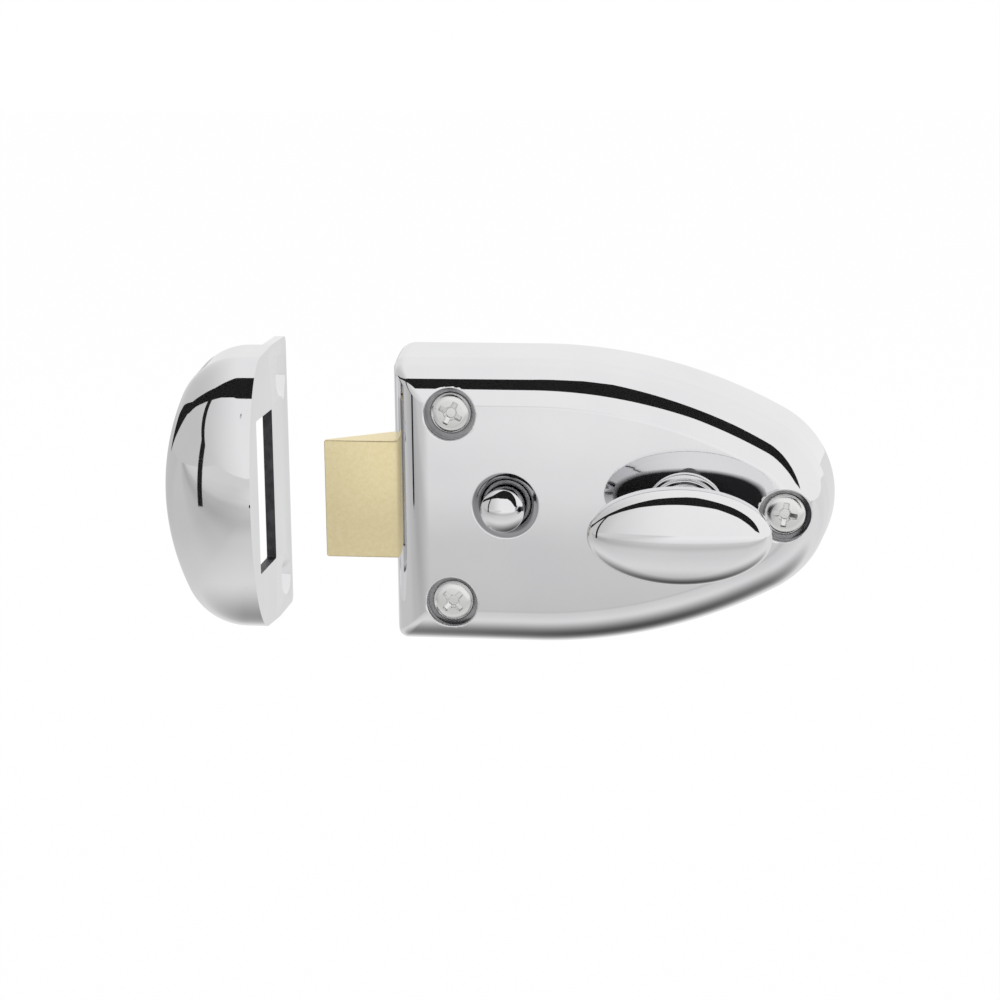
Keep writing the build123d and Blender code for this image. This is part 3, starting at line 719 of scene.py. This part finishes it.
def bolt_patches():
    """A brass prism: the section with its rear bevel and rounded corners, between two flat ends.

    The rings near each end are pulled towards the section's middle, by up to 0.3 mm, to break the edge.
    """
    core = [(-73.0, -14.4), (-57.3, -14.4), (-57.3, -11.0), (-52.2, -11.0)]
    core = np.array(core + [(-52.2, -2.4), (-58.5, -2.4), (-73.0, -13.4)])
    levels = [(-12.0, 0.3), (-11.88, 0.09), (-11.7, 0.0), (11.7, 0.0), (11.88, 0.09), (12.0, 0.3)]
    seam = [(core[0] + core[-1]) / 2]
    closed = np.concatenate([seam, core, seam])
    out = rounded(closed, [0, 0.35, 0.2, 0.1, 0.2, 0.2, 0.3, 0.25, 0], 5)[:-1]
    d = out - out.mean(0)
    rings = []
    for z, inset in levels:
        ring = out - inset * d / np.linalg.norm(d, axis=1, keepdims=True)
        rings.append(np.c_[ring, np.full(len(ring), z)])
    rings = np.array(rings)
    side = grid(rings, close_v=True)
    n = rings.shape[1]
    caps = [(rings[0], [list(range(n))]), (rings[-1], [list(range(n))])]
    return [side] + caps


piece("bevelled_bolt", bolt_patches(), "latch", ["bolt"], [BRASS], sharp=30)


# ---------------------------------------------------------------- strike

def strike_loop(inset, shrink):
    """The strike's outline at each inset and shrink, (rows, points, 2) of x and z.

    From the plate's top round to its bottom: a straight run, a corner arc, the left arc, a corner arc and
    a straight run, all shrunk about the middle of the plate.
    """
    i, s = np.asarray(inset, float)[:, None], np.asarray(shrink, float)[:, None]
    top, left, corner, width = (S_HALF - i) * s, (S_LEFT_R - i) * s, (S_CORNER_R - i) * s, (S_WIDTH - i) * s
    lx = left - width
    cz = top - corner
    cx = lx - np.sqrt(np.maximum((left - corner) ** 2 - cz**2, 0))
    tilt = np.arctan2(cz, lx - cx)
    run = np.linspace(0, 1, 12, endpoint=False)[None]
    u = np.linspace(0, 1, 41)[None]
    a = np.pi / 2 + u * (np.pi / 2 - tilt)
    b = np.pi - tilt * (1 - np.linspace(0, 1, 41)[None, 1:])
    x = np.concatenate([cx * run, cx + corner * np.cos(a), lx + left * np.cos(b)], 1)
    z = np.concatenate([top + 0 * run * cx, cz + corner * np.sin(a), left * np.sin(b)], 1)
    up = np.stack([x, z], -1)
    down = up[:, ::-1][:, 1:] * [1, -1]
    return np.concatenate([up, down], 1) + [STRIKE, 0]


def strike_rows(inset, dome):
    """Rows of (inset, shrink, depth) from the door face forwards: a drafted wall, then the dome.

    The dome rises as sine while the outline shrinks as cosine to the power 0.96, nearly a quarter ellipse.
    """
    rows = [(inset, 1.0, 0.0), (inset + 0.05, 1.0, 0.6)]
    rows += [(inset + 0.8 * t, 1.0, 9.5 * t) for t in np.linspace(0.15, 1, 10)]
    rows += [(inset + 0.8, np.cos(t) ** 0.96, 9.5 + dome * np.sin(t)) for t in np.radians(np.linspace(4, 89.4, 60))]
    return np.array(rows)


def strike_patches():
    """The casting: domed box, its hollow, the slotted plate with its leg, and two countersunk holes."""
    patches, cut = [], {}
    for key, inset, dome, shift in (("out", 0.0, 13.5, 0.0), ("in", 2.2, 11.3, -2.0)):
        rows = strike_rows(inset, dome)
        loop = strike_loop(rows[:, 0], rows[:, 1])
        pts = np.stack([loop[..., 0] + shift, -rows[:, 2:3] + 0 * loop[..., 0], loop[..., 1]], -1)
        patches.append((*grid(pts), 0 if key == "out" else 2))
        cut[key] = (pts[:, 0], pts[:, -1], pts[0])
    rim_out, rim_in = cut["out"][2], cut["in"][2]
    patches.append(grid(np.stack([rim_out, rim_in])))
    # the plate's two faces, as sheets in the y, z plane with the slot and the two holes cut out
    top, bottom, _ = cut["out"]
    arch = np.concatenate([top[:, 1:], bottom[::-1, 1:]])
    corner = np.radians(np.linspace(0, 90, 7))
    r = 1.5
    lower = np.c_[13 - r + r * np.sin(corner), -29 + r - r * np.cos(corner)]
    upper = np.c_[13 - r + r * np.cos(corner), 29 - r + r * np.sin(corner)]
    outline = np.concatenate([arch, lower, upper])
    keep = np.r_[True, np.linalg.norm(np.diff(outline, axis=0), axis=1) > 1e-4]
    outline = outline[keep]
    back, front, half = -1.7, -15.7, 15.85
    corners = [(-8.7, half), (back, half), (back, -half), (front, -half), (front, half), (-8.7, half)]
    slot = rounded(corners, [0, 0.5, 0.5, 0.5, 0.5, 0], 5)[:-1]
    for x, radius in ((STRIKE, SINK_R), (STRIKE - PLATE, HOLE_R)):
        holes = [slot] + [circle((HOLE_Y, z), radius, 64) for z in HOLE_Z]
        sheet, faces = filled(outline, holes, 0.0)
        v = np.c_[np.full(len(sheet), x), sheet[:, 0], sheet[:, 2]]
        patches.append((v, faces))
    through = np.stack([np.c_[np.full(len(slot), x), slot] for x in (STRIKE, STRIKE - 0.25, STRIKE - PLATE)])
    patches.append((*grid(through, close_v=True), 1))
    rim = np.stack([np.c_[np.full(len(outline), x), outline] for x in (STRIKE, STRIKE - PLATE)])
    leg = rim[:, len(arch) - 1 :]
    patches.append(grid(np.concatenate([leg, rim[:, :1]], 1)))
    line = [(SINK_R, 0.0), (4.4, 0.08), (HOLE_R, 1.6), (HOLE_R, PLATE)]
    a = np.linspace(0, 2 * np.pi, 64, endpoint=False)
    for z in HOLE_Z:
        ring = [np.c_[np.full(64, STRIKE - d), HOLE_Y + q * np.cos(a), z + q * np.sin(a)] for q, d in line]
        patches.append(grid(np.array(ring), close_v=True))
    return patches


STRIKE_FINISHES = [CHROME, CASTING_AND_RECESS_SHADE, RAW]
piece("domed_strike", strike_patches(), "base", ["strike"], STRIKE_FINISHES, sharp=35)


# ---------------------------------------------------------------- springs

def coil(start, length, axis, radius, wire, turns):
    """A round wire wound about a line: a circle stands square to a helix at each step.

    The helix climbs as t - 0.08 sin(2 pi t) / (2 pi) shares of its length at t shares of its turns, so the
    end coils lie a little closer than the middle ones. Along is the line's direction, and the circle is spanned
    by the outward direction and the product of the path's direction with it.
    """
    t = np.linspace(0, 1, turns * 40 + 1)[:, None]
    a = 2 * np.pi * turns * t
    along = np.array(axis, float)
    side = np.array([0.0, 0.0, 1.0])
    third = np.cross(along, side)
    out = np.cos(a) * side + np.sin(a) * third
    path = np.array(start) + along * length * (t - 0.08 * np.sin(2 * np.pi * t)) + radius * out
    way = np.gradient(path, axis=0)
    way /= np.linalg.norm(way, axis=1, keepdims=True)
    lift = np.cross(way, out)
    b = np.linspace(0, 2 * np.pi, 12, endpoint=False)[None, :, None]
    rings = path[:, None] + wire * (np.cos(b) * out[:, None] + np.sin(b) * lift[:, None])
    ends = [(rings[k], [list(range(12))]) for k in (0, -1)]
    return [grid(rings, close_v=True)] + ends


# name, joint, start, length, axis, (radius, wire, turns), fixed end, share of the length kept at the limit
BOLT_WIRE, SNIB_WIRE, SNIB_START = (2.0, 0.35, 8), (2.68, 0.22, 5), (BUTTON[0], -13.17, BUTTON[1])
SPRINGS = (
    ("bolt_spring_upper", "bolt_slide", (-50.1, -8.4, 7.8), 22.2, (1, 0, 0), BOLT_WIRE, (-27.5, 0, 0), 0.433),
    ("bolt_spring_lower", "bolt_slide", (-50.1, -8.4, -7.8), 22.2, (1, 0, 0), BOLT_WIRE, (-27.5, 0, 0), 0.433),
    ("snib_spring", "snib_press", SNIB_START, 6.16, (0, -1, 0), SNIB_WIRE, (0, -12.9, 0), 0.55),
)
for name, joint, start, length, axis, (radius, wire, turns), anchor, keep in SPRINGS:
    patches = coil(start, length, axis, radius, wire, turns)
    wound = piece("coil_" + name, patches, "base", [name], [WIRE])
    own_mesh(wound)


# ---------------------------------------------------------------- pieces that stay as the part has them

for names, material in (
    (("back_plate", "bolt_tail", "follower", "hub_pin", "thrust_washer", "snib_guide", "spindle"), ZINC),
    (("bolt_rivet_upper", "bolt_rivet_lower", "drive_pin", "spring_guide_upper", "spring_guide_lower"), CASTING_AND_RECESS_SHADE),
):
    for name in names:
        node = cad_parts[name]
        node.data.materials.clear()
        node.data.materials.append(material)


# ---------------------------------------------------------------- studio

TONE_SPAN = (-1.5, 0.5)
# the spot is a painted shadow of the object on the floor and the side fade is painted shade towards the left, both
# seen only in reflections
SPOT_SHAPE, SPOT_FADE = (0.55, 1, 0), (0.0, 0.16, 0.06, 1.0)
SIDE_FADE = (-0.55, -0.06, 0.74, 1.0)


def tinted(nodes, link, colour, share):
    """A colour socket times a share, as a colour socket."""
    node = nodes.new("ShaderNodeMixRGB")
    node.blend_type = "MULTIPLY"
    node.inputs["Fac"].default_value = 1.0
    link(colour, node.inputs["Color1"])
    link(share, node.inputs["Color2"])
    return node.outputs["Color"]


def mirror_tone(n, link, stops):
    """Stops of (y, share) as a tone, darker in an oval spot under the object and towards the left: painted light and
    shade over the floor, with a painted shadow of the object under it.
    """
    coord, axes = n.new("ShaderNodeTexCoord"), n.new("ShaderNodeSeparateXYZ")
    link(coord.outputs["Object"], axes.inputs[0])
    place = mapped(n, (*TONE_SPAN, 0, 1))
    link(axes.outputs["Y"], place.inputs["Value"])
    start, end = TONE_SPAN
    bands = ramp(n, [((y - start) / (end - start), (c, c, c)) for y, c in stops])
    bands.color_ramp.interpolation = "EASE"
    link(place.outputs["Result"], bands.inputs["Fac"])
    oval, away = n.new("ShaderNodeVectorMath"), n.new("ShaderNodeVectorMath")
    oval.operation, away.operation = "MULTIPLY", "LENGTH"
    oval.inputs[1].default_value = SPOT_SHAPE
    link(coord.outputs["Object"], oval.inputs[0])
    link(oval.outputs["Vector"], away.inputs[0])
    spot = mapped(n, SPOT_FADE, smooth=True)
    link(away.outputs["Value"], spot.inputs["Value"])
    sideways = mapped(n, SIDE_FADE, smooth=True)
    link(axes.outputs["X"], sideways.inputs["Value"])
    under = tinted(n, link, bands.outputs["Color"], spot.outputs["Result"])
    return tinted(n, link, under, sideways.outputs["Result"])


def plain(name, colour, camera_white=0.0, glossy_white=0.0, near=None):
    """A matt stage material that shares of the camera rays and of the glossy rays see as light.

    Camera rays see white; glossy rays see mirror_tone of the stops in near, painted light and shade, or white
    without them.
    """
    m = bpy.data.materials.new(name)
    m.use_nodes = True
    n, link = m.node_tree.nodes, m.node_tree.links.new
    n.clear()
    out, mix = n.new("ShaderNodeOutputMaterial"), n.new("ShaderNodeMixShader")
    matt, glow = n.new("ShaderNodeBsdfDiffuse"), n.new("ShaderNodeEmission")
    paper = n.new("ShaderNodeTexNoise")
    paper.inputs["Scale"].default_value = 300
    tone = ramp(n, [(0.0, tuple(0.97 * c for c in colour)), (1.0, colour)])
    link(paper.outputs["Fac"], tone.inputs["Fac"])
    link(tone.outputs["Color"], matt.inputs["Color"])
    if near:
        link(mirror_tone(n, link, near), glow.inputs["Color"])
    else:
        glow.inputs["Color"].default_value = (1, 1, 1, 1)
    path, white = n.new("ShaderNodeLightPath"), n.new("ShaderNodeEmission")
    first = n.new("ShaderNodeMixShader")
    white.inputs["Color"].default_value = (1, 1, 1, 1)
    cam, glo = n.new("ShaderNodeMath"), n.new("ShaderNodeMath")
    cam.operation = glo.operation = "MULTIPLY"
    cam.inputs[1].default_value, glo.inputs[1].default_value = camera_white, glossy_white
    link(path.outputs["Is Camera Ray"], cam.inputs[0])
    link(path.outputs["Is Glossy Ray"], glo.inputs[0])
    link(glo.outputs[0], first.inputs[0])
    link(matt.outputs[0], first.inputs[1])
    link(glow.outputs[0], first.inputs[2])
    link(cam.outputs[0], mix.inputs[0])
    link(first.outputs[0], mix.inputs[1])
    link(white.outputs[0], mix.inputs[2])
    link(mix.outputs[0], out.inputs["Surface"])
    return m


def stage_sheet(name, points, material, seen=True):
    """A stage surface from an (n, m, 3) array in metres, hidden from the camera where seen is false."""
    v, f = grid(points)
    mesh = bpy.data.meshes.new(name)
    mesh.from_pydata(v.tolist(), [], f.tolist())
    mesh.polygons.foreach_set("use_smooth", np.ones(len(mesh.polygons), bool))
    mesh.materials.append(material)
    obj = bpy.data.objects.new(name, mesh)
    bpy.context.scene.collection.objects.link(obj)
    obj.visible_camera = seen


def flat(reach, z):
    """A level square sheet about the middle."""
    x, y = np.meshgrid((-reach, reach), (-reach, reach), indexing="ij")
    return np.stack([x, y, 0 * x + z], -1)


def sky_patch(radius, rows, n):
    """Part of a sphere round the object, from rows of (azimuth, lower elevation, upper elevation) in degrees.

    Azimuth 0 is in front, towards -Y, and the elevations run straight from row to row.
    """
    azimuths, low, high = zip(*rows)
    az = np.linspace(azimuths[0], azimuths[-1], n)
    a, t = np.meshgrid(np.radians(az), np.linspace(0, 1, 24), indexing="ij")
    e0 = np.radians(np.interp(az, azimuths, low))[:, None]
    e1 = np.radians(np.interp(az, azimuths, high))[:, None]
    e = e0 + t * (e1 - e0)
    return radius * np.stack([np.cos(e) * np.sin(a), -np.cos(e) * np.cos(a), np.sin(e)], -1)


FLOOR_Z = -0.16
# floor brightness by y as the chrome's reflections see it: painted light and shade
FLOOR_TONES = (
    (-1.4, 0.95), (-0.95, 0.90), (-0.78, 0.84), (-0.62, 0.66), (-0.46, 0.58),
    (-0.30, 0.70), (-0.10, 0.80), (0.10, 0.80), (0.40, 0.76),
)
OVERHEAD = (
    (-121, -4, 3), (-104, 4, 12), (-90, 11, 19), (-78, 20, 29), (-63, 29, 43), (-46, 38, 70), (-30, 43, 77),
    (0, 44, 83), (20, 43, 83), (34, 32, 83), (46, 10, 83), (54, 6, 70), (60, 40, 60),
)
UPRIGHT = ((-62.5, -11.7, 36), (-57.5, -11.7, 38))
PAPER = plain("Floor_Paper", (0.92, 0.92, 0.92), 0.975, 0.95, FLOOR_TONES)
BLACK = plain("Card_Black", (0.02, 0.02, 0.02))
stage_sheet("Pale_Floor", flat(4.0, FLOOR_Z), PAPER)
stage_sheet("Dark_Overhead_Panel", sky_patch(1.0, OVERHEAD, 180), BLACK, seen=False)
stage_sheet("Dark_Upright_Strip", sky_patch(0.7, UPRIGHT, 4), BLACK, seen=False)

world = bpy.data.worlds.new("Studio")
bpy.context.scene.world = world
world.use_nodes = True
wn = world.node_tree.nodes
wl = world.node_tree.links.new
wn.clear()
w_out, w_mix = wn.new("ShaderNodeOutputWorld"), wn.new("ShaderNodeMixShader")
w_soft, w_white = wn.new("ShaderNodeBackground"), wn.new("ShaderNodeBackground")
w_soft.inputs["Color"].default_value = (0.97, 0.97, 0.97, 1)
w_white.inputs["Color"].default_value = (1, 1, 1, 1)
w_path, w_coord, w_axes = (wn.new("ShaderNode" + kind) for kind in ("LightPath", "TexCoord", "SeparateXYZ"))
# darker towards the left, for all rays but the camera's
w_side = mapped(wn, (-0.95, -0.05, 0.62, 0.95), smooth=True)
wl(w_coord.outputs["Generated"], w_axes.inputs[0])
wl(w_axes.outputs["X"], w_side.inputs["Value"])
wl(w_side.outputs["Result"], w_soft.inputs["Strength"])
wl(w_path.outputs["Is Camera Ray"], w_mix.inputs[0])
wl(w_soft.outputs[0], w_mix.inputs[1])
wl(w_white.outputs[0], w_mix.inputs[2])
wl(w_mix.outputs[0], w_out.inputs["Surface"])


def softbox(name, place, aim, size, power):
    """A large square lamp at a place, turned towards a point, which glossy rays don't see."""
    data = bpy.data.lights.new(name, "AREA")
    data.shape = "SQUARE"
    data.size = size
    data.energy = power
    lamp = bpy.data.objects.new(name, data)
    lamp.visible_glossy = False
    lamp.location = place
    lamp.rotation_euler = (Vector(aim) - Vector(place)).to_track_quat("-Z", "Y").to_euler()
    bpy.context.scene.collection.objects.link(lamp)


softbox("Top_Box", (-0.05, 0.45, 0.8), (-0.03, 0, 0), 0.8, 3)
softbox("Left_Box", (-1.1, -0.5, 0.35), (-0.03, 0, 0), 0.5, 1)

# a sensor 36 mm wide, 4.95 pixels a millimetre at the target in a picture of 1000 pixels, and a distance in metres
SENSOR, PIXELS_A_MM = 36, 4.95
yaw, pitch, roll, distance = radians(8.0), radians(12.6), radians(-0.63), 0.48
target = Vector((-0.040, -0.010, 0.0))
way = Vector((np.sin(yaw) * np.cos(pitch), -np.cos(yaw) * np.cos(pitch), np.sin(pitch)))
cam_data = bpy.data.cameras.new("Camera")
cam_data.lens = SENSOR * PIXELS_A_MM * distance
cam_data.shift_x = 0.0100
cam_data.shift_y = -0.0030
cam = bpy.data.objects.new("Camera", cam_data)
cam.location = target + way * distance
cam.rotation_euler = ((-way).to_track_quat("-Z", "Y") @ Quaternion((0, 0, 1), roll)).to_euler()
bpy.context.scene.collection.objects.link(cam)
bpy.context.scene.camera = cam
bpy.context.scene.view_settings.view_transform = "Standard"
